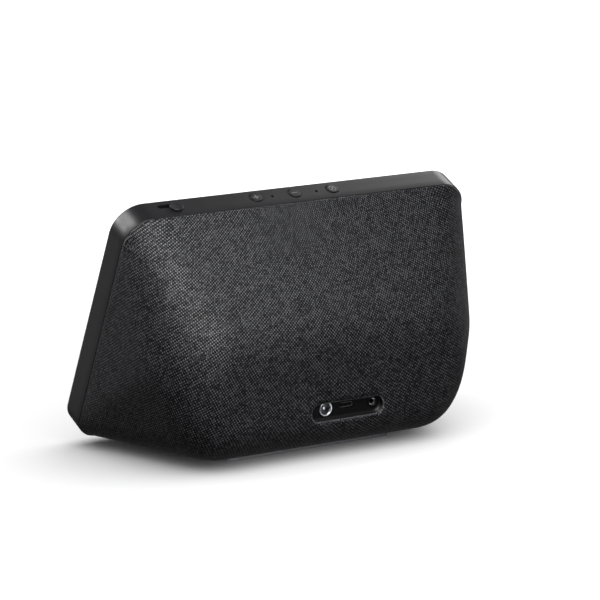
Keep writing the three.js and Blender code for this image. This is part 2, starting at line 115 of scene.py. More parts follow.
def loft(rings, loop=False, capFirst=False, capLast=False):
    count, verts, faces = len(rings[0]), [p for ring in rings for p in ring], []
    for r in range(len(rings) if loop else len(rings) - 1):
        here, there = r * count, ((r + 1) % len(rings)) * count
        for k in range(count):
            after = (k + 1) % count
            faces.append((here + k, here + after, there + after, there + k))
    if capFirst:
        faces.append(tuple(reversed(range(count))))
    if capLast:
        faces.append(tuple(range(len(verts) - count, len(verts))))
    return verts, faces


# a profile of (radius, along) turned round an axis that put() lays in place
def turned(profile, put, steps=48, closed=False):
    rings = []
    for radius, along in profile:
        angles = [2 * math.pi * k / steps for k in range(steps)]
        rings.append([put(radius * math.cos(a), along, radius * math.sin(a)) for a in angles])
    return loft(rings, loop=closed)


def makePiece(name, shape, material):
    verts, faces = shape
    mesh = bpy.data.meshes.new(name)
    mesh.from_pydata([(x / 1000, y / 1000, z / 1000) for x, y, z in verts], [], faces)
    bm = bmesh.new()
    bm.from_mesh(mesh)
    bmesh.ops.remove_doubles(bm, verts=bm.verts, dist=2e-7)
    bmesh.ops.dissolve_degenerate(bm, edges=bm.edges, dist=1e-8)
    bmesh.ops.recalc_face_normals(bm, faces=bm.faces)
    bm.to_mesh(mesh)
    bm.free()
    mesh.shade_smooth()
    mesh.set_sharp_from_angle(angle=sharpAngle)
    piece = bpy.data.objects.new(name, mesh)
    bpy.context.scene.collection.objects.link(piece)
    mesh.materials.append(material)
    return piece


def bake(piece):
    # turns the piece and its live modifiers into one plain mesh
    bpy.context.view_layer.update()
    graph = bpy.context.evaluated_depsgraph_get()
    mesh = bpy.data.meshes.new_from_object(piece.evaluated_get(graph))
    piece.modifiers.clear()
    piece.data = mesh
    return piece


def carve(piece, cutters, sharp=sharpAngle):
    for cutter in cutters:
        modifier = piece.modifiers.new(cutter.name, "BOOLEAN")
        modifier.operation, modifier.solver, modifier.object = "DIFFERENCE", "EXACT", cutter
    bake(piece)
    for cutter in cutters:
        bpy.data.objects.remove(cutter)
    piece.data.set_sharp_from_angle(angle=sharp)
    return piece


def joinPieces(name, pieces):
    bm = bmesh.new()
    for piece in pieces:
        bm.from_mesh(piece.data)
    mesh = pieces[0].data.copy()
    bm.to_mesh(mesh)
    bm.free()
    for piece in pieces:
        bpy.data.objects.remove(piece)
    mesh.name = name
    joined = bpy.data.objects.new(name, mesh)
    bpy.context.scene.collection.objects.link(joined)
    return joined


# what a finished piece rides on, and the CAD node it stands for
def settle(piece, body, node=None):
    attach(piece, body)
    if node:
        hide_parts(node)


# ------ materials ------
def hexColor(text):
    parts = [int(text[i : i + 2], 16) / 255 for i in (1, 3, 5)]
    return (*[p / 12.92 if p <= 0.04045 else ((p + 0.055) / 1.055) ** 2.4 for p in parts], 1.0)


# an input is given a value, a socket, or a node whose first output is meant
def fill(node, inputs):
    for key, value in inputs.items() if isinstance(inputs, dict) else enumerate(inputs):
        source = value.outputs[0] if isinstance(value, bpy.types.Node) else value
        if isinstance(source, bpy.types.NodeSocket):
            node.id_data.links.new(source, node.inputs[key])
        else:
            node.inputs[key].default_value = source
    return node


def addNode(tree, kind, inputs=(), **settings):
    node = tree.nodes.new(kind)
    for key, value in settings.items():
        setattr(node, key, value)
    return fill(node, inputs)


def newMaterial(name):
    material = bpy.data.materials.new(name)
    material.use_nodes = True
    tree = material.node_tree
    return material, tree.nodes["Principled BSDF"], partial(addNode, tree)


def setStops(ramp, stops):
    elements = ramp.color_ramp.elements
    while len(elements) < len(stops):
        elements.new(0.5)
    for element, (position, color) in zip(elements, stops):
        element.position, element.color = position, hexColor(color)


# Polyester heather in a plain weave: dull yarns, the ones on top lighter, with dark gaps between them; the
# darkening where a yarn dives under, at its edges and in the gaps is painted shade
def heatherFabric(lighter=0.0):
    cloth = {
        "pitch": 0.93,  # mm from yarn to yarn
        # painted shade: the near-black colour of the gaps between the yarns
        "gap": "#070708",
        "under": "#1a1a1c",
        "over": "#626268",
        "relief": 0.00013,
        "base": -1.1,
        "upright": 0.75,  # the upright yarns are the lighter ones
        "spread": 1.2,  # how far the shades of the yarns differ
        "patches": 0.5,
        "stray": 0.7,  # single crossings that stand out
        "shine": 1.15,
        "gapShine": 0.18,
    }
    material, shader, add = newMaterial("wovenHeatherPolyester")
    threads = add("ShaderNodeUVMap", uv_map="threads")
    parts = add("ShaderNodeSeparateXYZ", [threads]).outputs
    x, y = [add("ShaderNodeMath", [parts[k], cloth["pitch"]], operation="DIVIDE") for k in (0, 1)]
    cellX, cellY = [add("ShaderNodeMath", [value], operation="FLOOR") for value in (x, y)]
    slowX, slowY = [add("ShaderNodeMath", [value, 0.2], operation="MULTIPLY") for value in (x, y)]
    total = add("ShaderNodeMath", [cellX, cellY], operation="ADD")
    parity = add("ShaderNodeMath", [total, 2.0], operation="FLOORED_MODULO")
    upright = add("ShaderNodeMath", [parity, 0.5], operation="LESS_THAN")
    # how far from the middle of each yarn, 0 in the middle to 1 at the gap
    away = []
    for value in (x, y):
        share = add("ShaderNodeMath", [value], operation="FRACT")
        signed = add("ShaderNodeMath", [share, 2.0, -1.0], operation="MULTIPLY_ADD")
        away.append(add("ShaderNodeMath", [signed], operation="ABSOLUTE"))
    side = add("ShaderNodeMix", {"Factor": upright, "A": away[1], "B": away[0]}, data_type="FLOAT")
    along = add("ShaderNodeMix", {"Factor": upright, "A": away[0], "B": away[1]}, data_type="FLOAT")
    edge = add("ShaderNodeMath", [side, 2.5], operation="POWER")
    crown = add("ShaderNodeMath", [1.0, edge], operation="SUBTRACT", use_clamp=True)
    end = add("ShaderNodeMath", [along, 3.0], operation="POWER")
    dip = add("ShaderNodeMath", [end, -0.7, 1.0], operation="MULTIPLY_ADD")
    height = add("ShaderNodeMath", [crown, dip], operation="MULTIPLY")
    # each yarn keeps its own shade for a while, then drifts
    yarnX = add("ShaderNodeCombineXYZ", [cellX, slowY])
    yarnY = add("ShaderNodeCombineXYZ", [slowX, cellY])
    shadeX = add("ShaderNodeTexNoise", {"Vector": yarnX, "Scale": 3.1, "Detail": 1.0})
    shadeY = add("ShaderNodeTexNoise", {"Vector": yarnY, "Scale": 2.7, "Detail": 1.0})
    shade = add("ShaderNodeMix", {"Factor": upright, "A": shadeY, "B": shadeX}, data_type="FLOAT")
    patches = add("ShaderNodeTexNoise", {"Vector": threads, "Scale": 0.12, "Detail": 2.0})
    cell = add("ShaderNodeCombineXYZ", [cellX, cellY])
    stray = add("ShaderNodeTexWhiteNoise", {"Vector": cell}, noise_dimensions="2D")
    # lighter brightens the whole copy of the cloth; the hem's copy uses it for painted highlight
    bright = cloth["base"] + lighter
    for source, label in ((upright, "upright"), (shade, "spread"), (patches, "patches"), (stray, "stray")):
        bright = add("ShaderNodeMath", [source, cloth[label], bright], operation="MULTIPLY_ADD")
    # painted shade: the yarn's height scales its brightness, so each yarn darkens towards its edges and
    # where it dives under
    tone = add("ShaderNodeMath", [height, bright], operation="MULTIPLY", use_clamp=True)
    color = add("ShaderNodeValToRGB", [tone])
    setStops(color, [(0.0, cloth["gap"]), (0.35, cloth["under"]), (1.0, cloth["over"])])
    shine = add("ShaderNodeMath", [tone, cloth["shine"], cloth["gapShine"]], operation="MULTIPLY_ADD")
    fuzz = add("ShaderNodeTexNoise", {"Vector": threads, "Scale": 3.0, "Detail": 3.0})
    relief = add("ShaderNodeMath", [fuzz, 0.3, height], operation="MULTIPLY_ADD")
    bump = add("ShaderNodeBump", {"Height": relief, "Strength": 0.7, "Distance": cloth["relief"]})
    fill(shader, {"Base Color": color, "Specular IOR Level": shine, "Normal": bump})
    fill(shader, {"Roughness": 0.5, "Sheen Weight": 0.1, "Sheen Roughness": 0.4})
    return material


# ABS, injection moulded with a fine spark-eroded grain: soft, slightly broken highlights
def satinAbs(name, color, roughness):
    material, shader, add = newMaterial(name)
    place = add("ShaderNodeTexCoord").outputs["Object"]
    # grain 0.25 mm wide, drawn coarser than the real 0.05 mm so that it shows
    grit = add("ShaderNodeTexNoise", {"Vector": place, "Scale": 4000.0, "Detail": 2.0})
    broad = add("ShaderNodeTexNoise", {"Vector": place, "Scale": 90.0, "Detail": 2.0})
    uneven = add("ShaderNodeMath", [broad, 0.08, roughness - 0.04], operation="MULTIPLY_ADD")
    bump = add("ShaderNodeBump", {"Height": grit, "Strength": 0.35, "Distance": 0.00002})
    fill(shader, {"Base Color": hexColor(color), "Roughness": uneven, "Normal": bump})
    return material


# a metal with fine marks: bright, and broken along one axis; scale in marks per metre
def markedMetal(name, colors, roughness, scale=(900.0, 900.0, 9000.0)):
    material, shader, add = newMaterial(name)
    place = add("ShaderNodeTexCoord").outputs["Object"]
    stretched = add("ShaderNodeMapping", {"Vector": place, "Scale": scale})
    marks = add("ShaderNodeTexNoise", {"Vector": stretched, "Scale": 1.0, "Detail": 3.0})
    tone = add("ShaderNodeValToRGB", [marks])
    setStops(tone, [(0.25, colors[0]), (0.75, colors[1])])
    bump = add("ShaderNodeBump", {"Height": marks, "Strength": 0.3, "Distance": 0.00001})
    fill(shader, {"Base Color": tone, "Metallic": 1.0, "Roughness": roughness, "Normal": bump})
    return material


# a filled plastic, rubber, board, ink or film: two close shades in small patches
def mottled(name, colors, roughness, scale=600.0, relief=0.00003, metallic=0.0):
    material, shader, add = newMaterial(name)
    place = add("ShaderNodeTexCoord").outputs["Object"]
    patches = add("ShaderNodeTexNoise", {"Vector": place, "Scale": scale, "Detail": 4.0})
    tone = add("ShaderNodeValToRGB", [patches])
    setStops(tone, [(0.3, colors[0]), (0.7, colors[1])])
    bump = add("ShaderNodeBump", {"Height": patches, "Strength": 0.4, "Distance": relief})
    fill(shader, {"Base Color": tone, "Metallic": metallic, "Roughness": roughness, "Normal": bump})
    return material


# Float glass over black print: a mirror finish, with the screen's own area a shade lighter
def printedGlass():
    area = {"halfWidth": 0.0862, "low": 0.0105, "high": 0.1183, "soft": 0.0004}
    material, shader, add = newMaterial("blackPrintedGlass")
    place = add("ShaderNodeTexCoord").outputs["Object"]
    parts = add("ShaderNodeSeparateXYZ", [place]).outputs
    across = add("ShaderNodeMath", [parts[0]], operation="ABSOLUTE")
    height = add("ShaderNodeMath", [parts[2], form["edgeHeight"] / 1000], operation="SUBTRACT")
    up = add("ShaderNodeMath", [height, math.cos(form["lean"])], operation="DIVIDE")
    inside = 1.0
    limits = ((across, area["halfWidth"], -1), (up, area["low"], 1), (up, area["high"], -1))
    for value, edge, sign in limits:
        gap = add("ShaderNodeMath", [value, edge], operation="SUBTRACT")
        steep = sign / area["soft"]
        step = add("ShaderNodeMath", [gap, steep, 0.5], operation="MULTIPLY_ADD", use_clamp=True)
        inside = add("ShaderNodeMath", [inside, step], operation="MULTIPLY")
    color = add("ShaderNodeValToRGB", [inside])
    setStops(color, [(0.0, "#050506"), (1.0, "#101216")])
    fill(shader, {"Base Color": color, "Roughness": 0.04, "IOR": 1.52})
    fill(shader, {"Coat Weight": 0.6, "Coat Roughness": 0.02})
    return material


materials = {
    "fabric": heatherFabric(),
    # painted highlight: the hem's copy of the cloth is made lighter all over, for the light that the
    # recess's lower lip catches
    "hem": heatherFabric(lighter=0.25),
    "band": satinAbs("satinAbsBand", "#1c1c1e", 0.36),
    "key": satinAbs("satinAbsKey", "#1c1c1e", 0.38),
    "knob": satinAbs("satinAbsKnob", "#17171a", 0.42),
    "dish": satinAbs("satinAbsDish", "#08080a", 0.45),
    # the thread loops are lighter than the cloth: partly the thread's own colour, partly painted highlight
    # for the light that the recess's lower lip catches
    "thread": mottled("polyesterThread", ("#55555a", "#8e8e94"), 0.6, 2500.0, 0.00002),
    "print": mottled("padPrintedInk", ("#77777a", "#8b8b8e"), 0.6, 3000.0, 0.000005),
    "inner": mottled("filledAbs", ("#141415", "#1c1c1e"), 0.6),
    "rubber": mottled("siliconeRubber", ("#545456", "#646467"), 0.7, 1500.0, 0.00004),
    "glass": printedGlass(),
    "nickel": markedMetal("brightNickelPlate", ("#b9babd", "#e6e7ea"), 0.28),
    "sheet": markedMetal("rolledAluminium", ("#9fa1a4", "#c0c2c5"), 0.4, (400.0, 9000.0, 9000.0)),
    "screw": markedMetal("blackZincSteel", ("#3a3b3e", "#5c5d61"), 0.38),
    "board": mottled("solderResistBoard", ("#12402a", "#1d5638"), 0.4, 300.0),
    "film": mottled("polyimideFilm", ("#8a4c12", "#a8641f"), 0.35, 200.0),
    "pulp": mottled("pressedPulp", ("#18181a", "#26262a"), 0.85, 2500.0, 0.00008),
    "ferrite": mottled("platedFerrite", ("#2b2c2f", "#3c3d41"), 0.5, 900.0, 0.00003, 0.6),
    "panel": mottled("screenModule", ("#5a5d61", "#70747a"), 0.35, 250.0),
}
print("materials made:", len(materials))


# ------ the frame's band ------
def makeBand():
    sizes = {"wall": 2.4, "frontRound": 0.9, "rearRound": 0.25, "ledge": 7.0}
    pocket = {"inset": 1.3, "deep": 2.4, "back": 3.9}
    front, rear, depth = sizes["frontRound"], sizes["rearRound"], form["depth"]
    profile = []  # inset from the outline, depth behind the front edge
    for step in range(7):
        angle = math.radians(90 * step / 6)
        profile.append((front - front * math.sin(angle), front - front * math.cos(angle)))
    profile += [(0.0, 4.0), (0.0, 9.0)]
    for step in range(4):
        angle = math.radians(90 * step / 3)
        profile.append((rear - rear * math.cos(angle), depth - rear + rear * math.sin(angle)))
    profile += [(sizes["wall"], depth), (sizes["wall"], pocket["back"]), (sizes["ledge"], pocket["back"])]
    profile += [(sizes["ledge"], pocket["deep"]), (pocket["inset"], pocket["deep"])]
    profile += [(pocket["inset"], 0.2), (pocket["inset"] - 0.2, 0.0)]
    rings = [[onTilt(u, into, v) for u, v in outlinePoints(inset, 24, 16)] for inset, into in profile]
    return makePiece("frameBand", loft(rings, loop=True), materials["band"])


# a round cutter, square to the band's top
def topDrill(name, radius, across, into, steps):
    low, high = form["height"] - controls["wallCut"], form["height"] + 1
    put = lambda x, along, z: onTilt(across + x, into + z, along)
    profile = [(0, low), (radius, low), (radius, high), (0, high)]
    return makePiece(name, turned(profile, put, steps), materials["band"])


controls = {
    "keySpacing": 22.4,
    "keyMiddle": 1.2,
    "keyDepth": 6.4,
    "keyHole": 3.6,
    "micHole": 0.8,
    "micPlaces": (0.59, -0.57),  # in key spacings from the middle
    "shutterRest": 69.7,
    "shutterTravel": 7.5,
    "slotDepth": 4.9,
    "slotHalf": 1.35,
    "wallCut": 3.4,  # how far the cutters reach down through the wall
}


def slotCutter():
    start = controls["shutterRest"] - 1.5
    end = controls["shutterRest"] + controls["shutterTravel"] + 1.8
    half, middle = controls["slotHalf"], (start + end) / 2
    rings = []
    for up in (form["height"] - controls["wallCut"], form["height"] + 1):
        outline = stadiumPoints(end - start, 2 * half, 12, 6)
        rings.append([onTilt(middle + x, controls["slotDepth"] + y, up) for x, y in outline])
    return makePiece("slotCutter", loft(rings, capFirst=True, capLast=True), materials["band"])


def finishBand():
    band, cutters, into = makeBand(), [], controls["keyDepth"]
    for index in (-1, 0, 1):
        across = controls["keyMiddle"] + index * controls["keySpacing"]
        cutters.append(topDrill(f"keyCutter{index}", controls["keyHole"], across, into, 64))
    for share in controls["micPlaces"]:
        across = controls["keyMiddle"] + share * controls["keySpacing"]
        cutters.append(topDrill(f"micCutter{share}", controls["micHole"], across, into + 0.4, 24))
    cutters.append(slotCutter())
    carve(band, cutters, math.radians(30))
    settle(band, "speaker", "front_frame")


finishBand()
print("band made")


# ------ keys, marks and the shutter knob ------
def keyPut(across, into):
    return lambda x, along, z: onTilt(across + x, into + z, form["height"] + along)


def makeKey(name, across, body, node):
    sizes = {"radius": 3.2, "shoulder": 0.16, "edge": 0.22, "crown": 0.41, "plunger": 1.2, "flange": 3.9}
    radius, edge, shoulder = sizes["radius"], sizes["edge"], sizes["shoulder"]
    profile = [(0, -5.1), (sizes["plunger"], -5.1), (sizes["plunger"], -3.5), (sizes["flange"], -3.5)]
    profile += [(sizes["flange"], -2.7), (radius, -2.7), (radius, shoulder)]
    for step in range(1, 6):
        angle = math.radians(90 * step / 5)
        profile.append((radius - edge + edge * math.cos(angle), shoulder + edge * math.sin(angle)))
    profile += [(radius * 0.8, sizes["crown"] - 0.01), (radius * 0.4, sizes["crown"]), (0, sizes["crown"])]
    key = makePiece(name, turned(profile, keyPut(across, controls["keyDepth"]), 64), materials["key"])
    settle(key, body, node)


markLifts = (0.36, 0.45)  # underside and top of the print on the keys


# a flat stroke with round ends on a key's crown
def makeStroke(name, across, ends, width):
    (x0, z0), (x1, z1) = ends
    length, turn = math.hypot(x1 - x0, z1 - z0), math.atan2(z1 - z0, x1 - x0)
    middle = ((x0 + x1) / 2, (z0 + z1) / 2)
    rings = []
    for lift in markLifts:
        ring = []
        for x, z in stadiumPoints(length + width, width, 8, 3):
            along = middle[0] + x * math.cos(turn) - z * math.sin(turn)
            deep = middle[1] + x * math.sin(turn) + z * math.cos(turn)
            ring.append(onTilt(across + along, controls["keyDepth"] + deep, form["height"] + lift))
        rings.append(ring)
    return makePiece(name, loft(rings, capFirst=True, capLast=True), materials["print"])


def makeMark(name, strokes, circle, across, body):
    pieces = []
    for k, (ends, width) in enumerate(strokes):
        pieces.append(makeStroke(f"{name}Stroke{k}", across, ends, width))
    if circle:
        radius, width = circle
        (inner, outer), (under, top) = (radius - width / 2, radius + width / 2), markLifts
        profile = [(inner, under), (outer, under), (outer, top), (inner, top)]
        shape = turned(profile, keyPut(across, controls["keyDepth"]), 48, closed=True)
        pieces.append(makePiece(f"{name}Circle", shape, materials["print"]))
    settle(joinPieces(name, pieces), body)


def makeControls():
    arm, width, middle, spacing = 1.5, 0.42, controls["keyMiddle"], controls["keySpacing"]
    level, upright = ((-arm, 0), (arm, 0)), ((0, -arm), (0, arm))
    makeKey("volumeUpCap", middle + spacing, "volume_up", "volume_up_key")
    makeKey("volumeDownCap", middle, "volume_down", "volume_down_key")
    makeKey("micMuteCap", middle - spacing, "mic_mute", "mic_mute_key")
    makeMark("plusMark", [(level, width), (upright, width)], None, middle + spacing, "volume_up")
    makeMark("minusMark", [(level, width)], None, middle, "volume_down")
    capsule, slash = ((0, -0.35), (0, 0.35)), ((-1.15, -1.15), (1.15, 1.15))
    makeMark("muteMark", [(capsule, 0.75), (slash, 0.36)], (1.75, 0.36), middle - spacing, "mic_mute")


def makeKnob():
    sizes = {"radius": 3.5, "low": 0.3, "high": 1.2, "edge": 0.35, "depth": 7.0}
    edge, radius, low, high = sizes["edge"], sizes["radius"], sizes["low"], sizes["high"]
    profile = [(0, low), (radius - 0.1, low), (radius, low + 0.1), (radius, high - edge)]
    for step in range(1, 6):
        angle = math.radians(90 * step / 5)
        profile.append((radius - edge + edge * math.cos(angle), high - edge + edge * math.sin(angle)))
    profile += [(radius * 0.75, high - 0.06), (radius * 0.4, high - 0.12), (0, high - 0.13)]
    put = keyPut(controls["shutterRest"], sizes["depth"])
    cap = makePiece("knobCap", turned(profile, put, 64), materials["knob"])
    rings = []
    rest, into = controls["shutterRest"], controls["slotDepth"]
    for up in (form["height"] - 3.3, form["height"] + 0.5):
        corners = ((-1, -0.3), (1, -0.3), (1, 0.3), (-1, 0.3))
        rings.append([onTilt(rest + x, into + y, up) for x, y in corners])
    stem = makePiece("knobStem", loft(rings, capFirst=True, capLast=True), materials["knob"])
    knob = joinPieces("shutterKnob", [cap, stem])
    settle(knob, "shutter", "shutter_slider")


makeControls()
makeKnob()
print("keys and knob made")


# ------ the fabric sleeve ------
sleeve = {
    "cells": 176,  # across the whole sheet, about 1.3 mm each
    "thickness": 0.8,
    "seam": 0.3,  # gap behind the band
    "smoothing": 14,
    "stretchCap": 1.25,
    "bow": 0.0055,  # how fast the yarns turn as they are pulled round, per millimetre
    "bowReach": 60.0,
    "evenHeight": 50.0,  # the yarns run level here
    "topSection": 106.0,
    "seamTuck": 0.9,
    "recessTuck": 1.1,
    "standTuck": 0.7,
}

socket = {
    "middle": (-6.3, 99.58, 25.0),
    "lean": math.radians(4.8),
    "length": 43.5,
    "height": 10.5,
    "depth": 3.3,
    "lip": 1.5,
    "rim": 2.0,
    "floor": 1.7,
}

stand = {"length": 97.0, "width": 60.0, "rear": 75.0, "radius": 5.0, "opening": 1.5}


def onSocket(x, y, z):
    s, c = math.sin(-socket["lean"]), math.cos(-socket["lean"])
    mx, my, mz = socket["middle"]
    return onBody(mx + x, my + y * c - z * s, mz + y * s + z * c)


def intoSocket(point):
    s, c = math.sin(-socket["lean"]), math.cos(-socket["lean"])
    mx, my, mz = socket["middle"]
    x, y, z = point[0] - mx, point[1] + form["middle"] - my, point[2] - mz
    return x, y * c + z * s, -y * s + z * c


# the tight skin over the band's back edge and the rounded masses
def bodyTree():
    start = form["depth"] + sleeve["seam"]
    points = [onTilt(u, start, v) for u, v in outlinePoints(0.1, 20, 10)]
    s, c = math.sin(form["lean"]), math.cos(form["lean"])
    for out, back, up, radius, upright in form["masses"]:
        for side in (-1, 1):
            for ring in range(1, 40):
                polar = math.pi * ring / 40
                for step in range(72):
                    turn = 2 * math.pi * step / 72
                    x = side * out + radius * math.sin(polar) * math.cos(turn)
                    y = back + radius * math.sin(polar) * math.sin(turn)
                    z = up + upright * math.cos(polar)
                    if y * c - (z - form["edgeHeight"]) * s > start:
                        points.append(onBody(x, y, z))
    bm = bmesh.new()
    for point in points:
        bm.verts.new(point)
    bmesh.ops.convex_hull(bm, input=bm.verts)
    tree = BVHTree.FromBMesh(bm)
    bm.free()
    return tree


def rimDistance(outline, middle):
    angles = [math.atan2(v - middle, u) for u, v in outline]
    reach = [math.hypot(u, v - middle) for u, v in outline]
    order = np.argsort(angles)
    angles, reach = np.array(angles)[order], np.array(reach)[order]
    return lambda turn: float(np.interp(turn, angles, reach, period=2 * math.pi))


# a square net laid over the whole body: its edge is the seam, and it has no pole
def layNet(tree):
    start, middle, cells = form["depth"] + sleeve["seam"], form["height"] / 2, sleeve["cells"]
    rim = rimDistance(outlinePoints(0.1, 48, 60), middle)
    origin = Vector(onTilt(0, start, middle))
    sideways, upwards = Vector((1, 0, 0)), Vector(onTilt(0, start, middle + 1)) - origin
    backwards = Vector(onTilt(0, start + 1, middle)) - origin
    bm = bmesh.new()
    grid = []
    for j in range(cells + 1):
        for i in range(cells + 1):
            s, t = 2 * i / cells - 1, 2 * j / cells - 1
            a, b = s * math.sqrt(1 - t * t / 2), t * math.sqrt(1 - s * s / 2)
            r = math.hypot(a, b)
            if i in (0, cells) or j in (0, cells):
                turn = math.atan2(b, a)
                far = rim(turn)
                point = origin + sideways * (far * math.cos(turn)) + upwards * (far * math.sin(turn))
            else:
                swing = r * math.pi / 2
                flat = (sideways * a + upwards * b) / r if r > 1e-9 else Vector((0, 0, 0))
                ray = backwards * math.cos(swing) + flat * math.sin(swing)
                point = tree.ray_cast(origin + ray * 0.5, ray)[0]
            grid.append(bm.verts.new(point))
    for j in range(cells):
        for i in range(cells):
            k = j * (cells + 1) + i
            bm.faces.new((grid[k], grid[k + 1], grid[k + cells + 2], grid[k + cells + 1]))
    inner = [v for v in bm.verts if not v.is_boundary]
    axes = {"use_axis_x": True, "use_axis_y": True, "use_axis_z": True}
    for _ in range(sleeve["smoothing"]):
        bmesh.ops.smooth_vert(bm, verts=inner, factor=0.5, **axes)
    bmesh.ops.recalc_face_normals(bm, faces=bm.faces)
    if sum(f.normal.y for f in bm.faces) < 0:
        bmesh.ops.reverse_faces(bm, faces=bm.faces)
    return bm


def stadiumGap(x, z):
    radius, end = socket["height"] / 2, (socket["length"] - socket["height"]) / 2
    nearX = max(-end, min(end, x))
    dx, dz = x - nearX, z
    gap = math.hypot(dx, dz)
    return gap - radius, dx / max(gap, 1e-9), dz / max(gap, 1e-9)


def standGap(x, y):
    grow = stand["opening"]
    radius = stand["radius"] + grow
    halfX, halfY = stand["length"] / 2 + grow - radius, stand["width"] / 2 + grow - radius
    middle = stand["rear"] - stand["width"] / 2 - form["middle"]
    dx = x - max(-halfX, min(halfX, x))
    dy = (y - middle) - max(-halfY, min(halfY, y - middle))
    gap = math.hypot(dx, dy)
    return gap - radius, dx / max(gap, 1e-9), dy / max(gap, 1e-9)


# opens the net where inside() is true and draws the opening's edge onto its true outline
def openNet(bm, inside, snap):
    gone = [f for f in bm.faces if inside(f.calc_center_median())]
    edgeVerts = {v for f in gone for v in f.verts}
    bmesh.ops.delete(bm, geom=gone, context="FACES")
    rim = [v for v in edgeVerts if v.is_valid and v.link_faces]
    for vert in rim:
        vert.co = snap(vert.co)
    return rim


def tuck(bm, rim, move):
    edges = list({e for v in rim for e in v.link_edges if e.is_boundary})
    made = bmesh.ops.extrude_edge_only(bm, edges=edges)["geom"]
    verts = [g for g in made if isinstance(g, bmesh.types.BMVert)]
    for vert in verts:
        vert.co = move(vert.co)
    return verts


# thread counts run in millimetres: round the body, and up its back
def threadPlaces(tree, mesh):
    heights = np.linspace(form["edgeHeight"] - 7.0, sleeve["topSection"], 60)
    turns = np.radians(np.linspace(-97, 97, 195))
    lean, base = math.tan(form["lean"]), onTilt(0, form["depth"] + sleeve["seam"], 0)
    fronts = base[1] + (heights - base[2]) * lean + 6.0
    lengths, spine = np.zeros((len(heights), len(turns))), []
    for row, (height, frontY) in enumerate(zip(heights, fronts)):
        origin = Vector((0, frontY, height))
        rays = [Vector((math.sin(turn), math.cos(turn), 0)) for turn in turns]
        points = [tree.ray_cast(origin, ray)[0] or origin for ray in rays]
        flat = np.array([(p[0], p[1]) for p in points])
        run = np.concatenate([[0], np.cumsum(np.linalg.norm(np.diff(flat, axis=0), axis=1))])
        middle = len(turns) // 2
        lengths[row] = run - run[middle]
        spine.append(points[middle][1])
    rise = np.diff(heights)
    steep = np.diff(spine) / rise
    slope = np.minimum(np.sqrt(1 + steep**2), sleeve["stretchCap"])
    climb = np.concatenate([[0], np.cumsum(rise * slope)])
    climb -= np.interp(sleeve["evenHeight"], heights, climb)
    bow, reach = sleeve["bow"], sleeve["bowReach"]

    def place(point, normal):
        x, y, z = point
        if normal[2] < -0.8:
            return x, y
        beyond = max(z - heights[-1], 0.0)  # near the top, carry on straight up the face or the side
        onFace = min(max((normal[1] - 0.2) / 0.5, 0.0), 1.0)
        y -= beyond * (steep[-1] * onFace + lean * (1 - onFace))
        row = float(np.interp(z, heights, np.arange(len(heights))))
        low = min(int(row), len(heights) - 2)
        share = row - low
        turn = math.atan2(x, y - np.interp(z, heights, fronts))
        under, over = [np.interp(turn, turns, lengths[k]) for k in (low, low + 1)]
        across = under * (1 - share) + over * share
        up = float(np.interp(z, heights, climb)) + beyond * slope[-1]
        swing = across / reach
        drop = bow * reach**2 * math.log(math.cosh(swing))
        return across + bow * up * reach * math.tanh(swing), up - drop

    layer = mesh.uv_layers.new(name="threads")
    data = np.zeros(len(mesh.loops) * 2)
    for face in mesh.polygons:
        for loop in face.loop_indices:
            point = mesh.vertices[mesh.loops[loop].vertex_index].co
            data[2 * loop : 2 * loop + 2] = place(point, face.normal)
    layer.data.foreach_set("uv", data)


def makeSleeve():
    tree = bodyTree()
    bm = layNet(tree)
    seam = [v for v in bm.verts if v.is_boundary]

    def snapSocket(co):
        x, _, z = intoSocket(co)
        gap, dx, dz = stadiumGap(x, z)
        x, z = x - gap * dx, z - gap * dz
        outside, inward = Vector(onSocket(x, 30, z)), Vector(onSocket(x, 0, z)) - Vector(onSocket(x, 30, z))
        return tree.ray_cast(outside, inward.normalized())[0]

    def snapStand(co):
        gap, dx, dy = standGap(co.x, co.y)
        x, y = co.x - gap * dx, co.y - gap * dy
        return tree.ray_cast(Vector((x, y, -40)), Vector((0, 0, 1)))[0]

    inSocket = lambda p: p.y > 30 and stadiumGap(*intoSocket(p)[::2])[0] < 0
    inStand = lambda p: p.z < 12 and standGap(p.x, p.y)[0] < 0
    socketRim = openNet(bm, inSocket, snapSocket)
    standRim = openNet(bm, inStand, snapStand)

    def foldIn(co):  # the seam's edge turns down behind the band
        s, c, half = math.sin(form["lean"]), math.cos(form["lean"]), form["height"] / 2
        v = (co.z - form["edgeHeight"]) * c + (co.y + form["middle"]) * s - half
        scale = 1 - sleeve["seamTuck"] / math.hypot(co.x, v)
        return Vector(onTilt(co.x * scale, form["depth"] + sleeve["seam"] / 2, half + v * scale))

    def sink(co):  # the recess's edge turns in
        x, y, z = intoSocket(co)
        return Vector(onSocket(x, y - sleeve["recessTuck"], z))

    tuck(bm, seam, foldIn)
    tuck(bm, socketRim, sink)
    tuck(bm, standRim, lambda co: co + Vector((0, 0, sleeve["standTuck"])))
    bmesh.ops.recalc_face_normals(bm, faces=bm.faces)
    if sum(f.normal.y for f in bm.faces) < 0:
        bmesh.ops.reverse_faces(bm, faces=bm.faces)
    mesh = bpy.data.meshes.new("fabricSleeve")
    bm.to_mesh(mesh)
    bm.free()
    threadPlaces(tree, mesh)
    for vert in mesh.vertices:
        vert.co = vert.co / 1000
    mesh.shade_smooth()
    mesh.materials.append(materials["fabric"])
    piece = bpy.data.objects.new("fabricSleeve", mesh)
    bpy.context.scene.collection.objects.link(piece)
    solidify = piece.modifiers.new("thickness", "SOLIDIFY")
    solidify.thickness, solidify.offset = sleeve["thickness"] / 1000, -1
    bake(piece)
    settle(piece, "speaker", "fabric_cover")
    return piece, tree


fabric, bodySkin = makeSleeve()
print("fabric sleeve made:", len(fabric.data.vertices), "points")


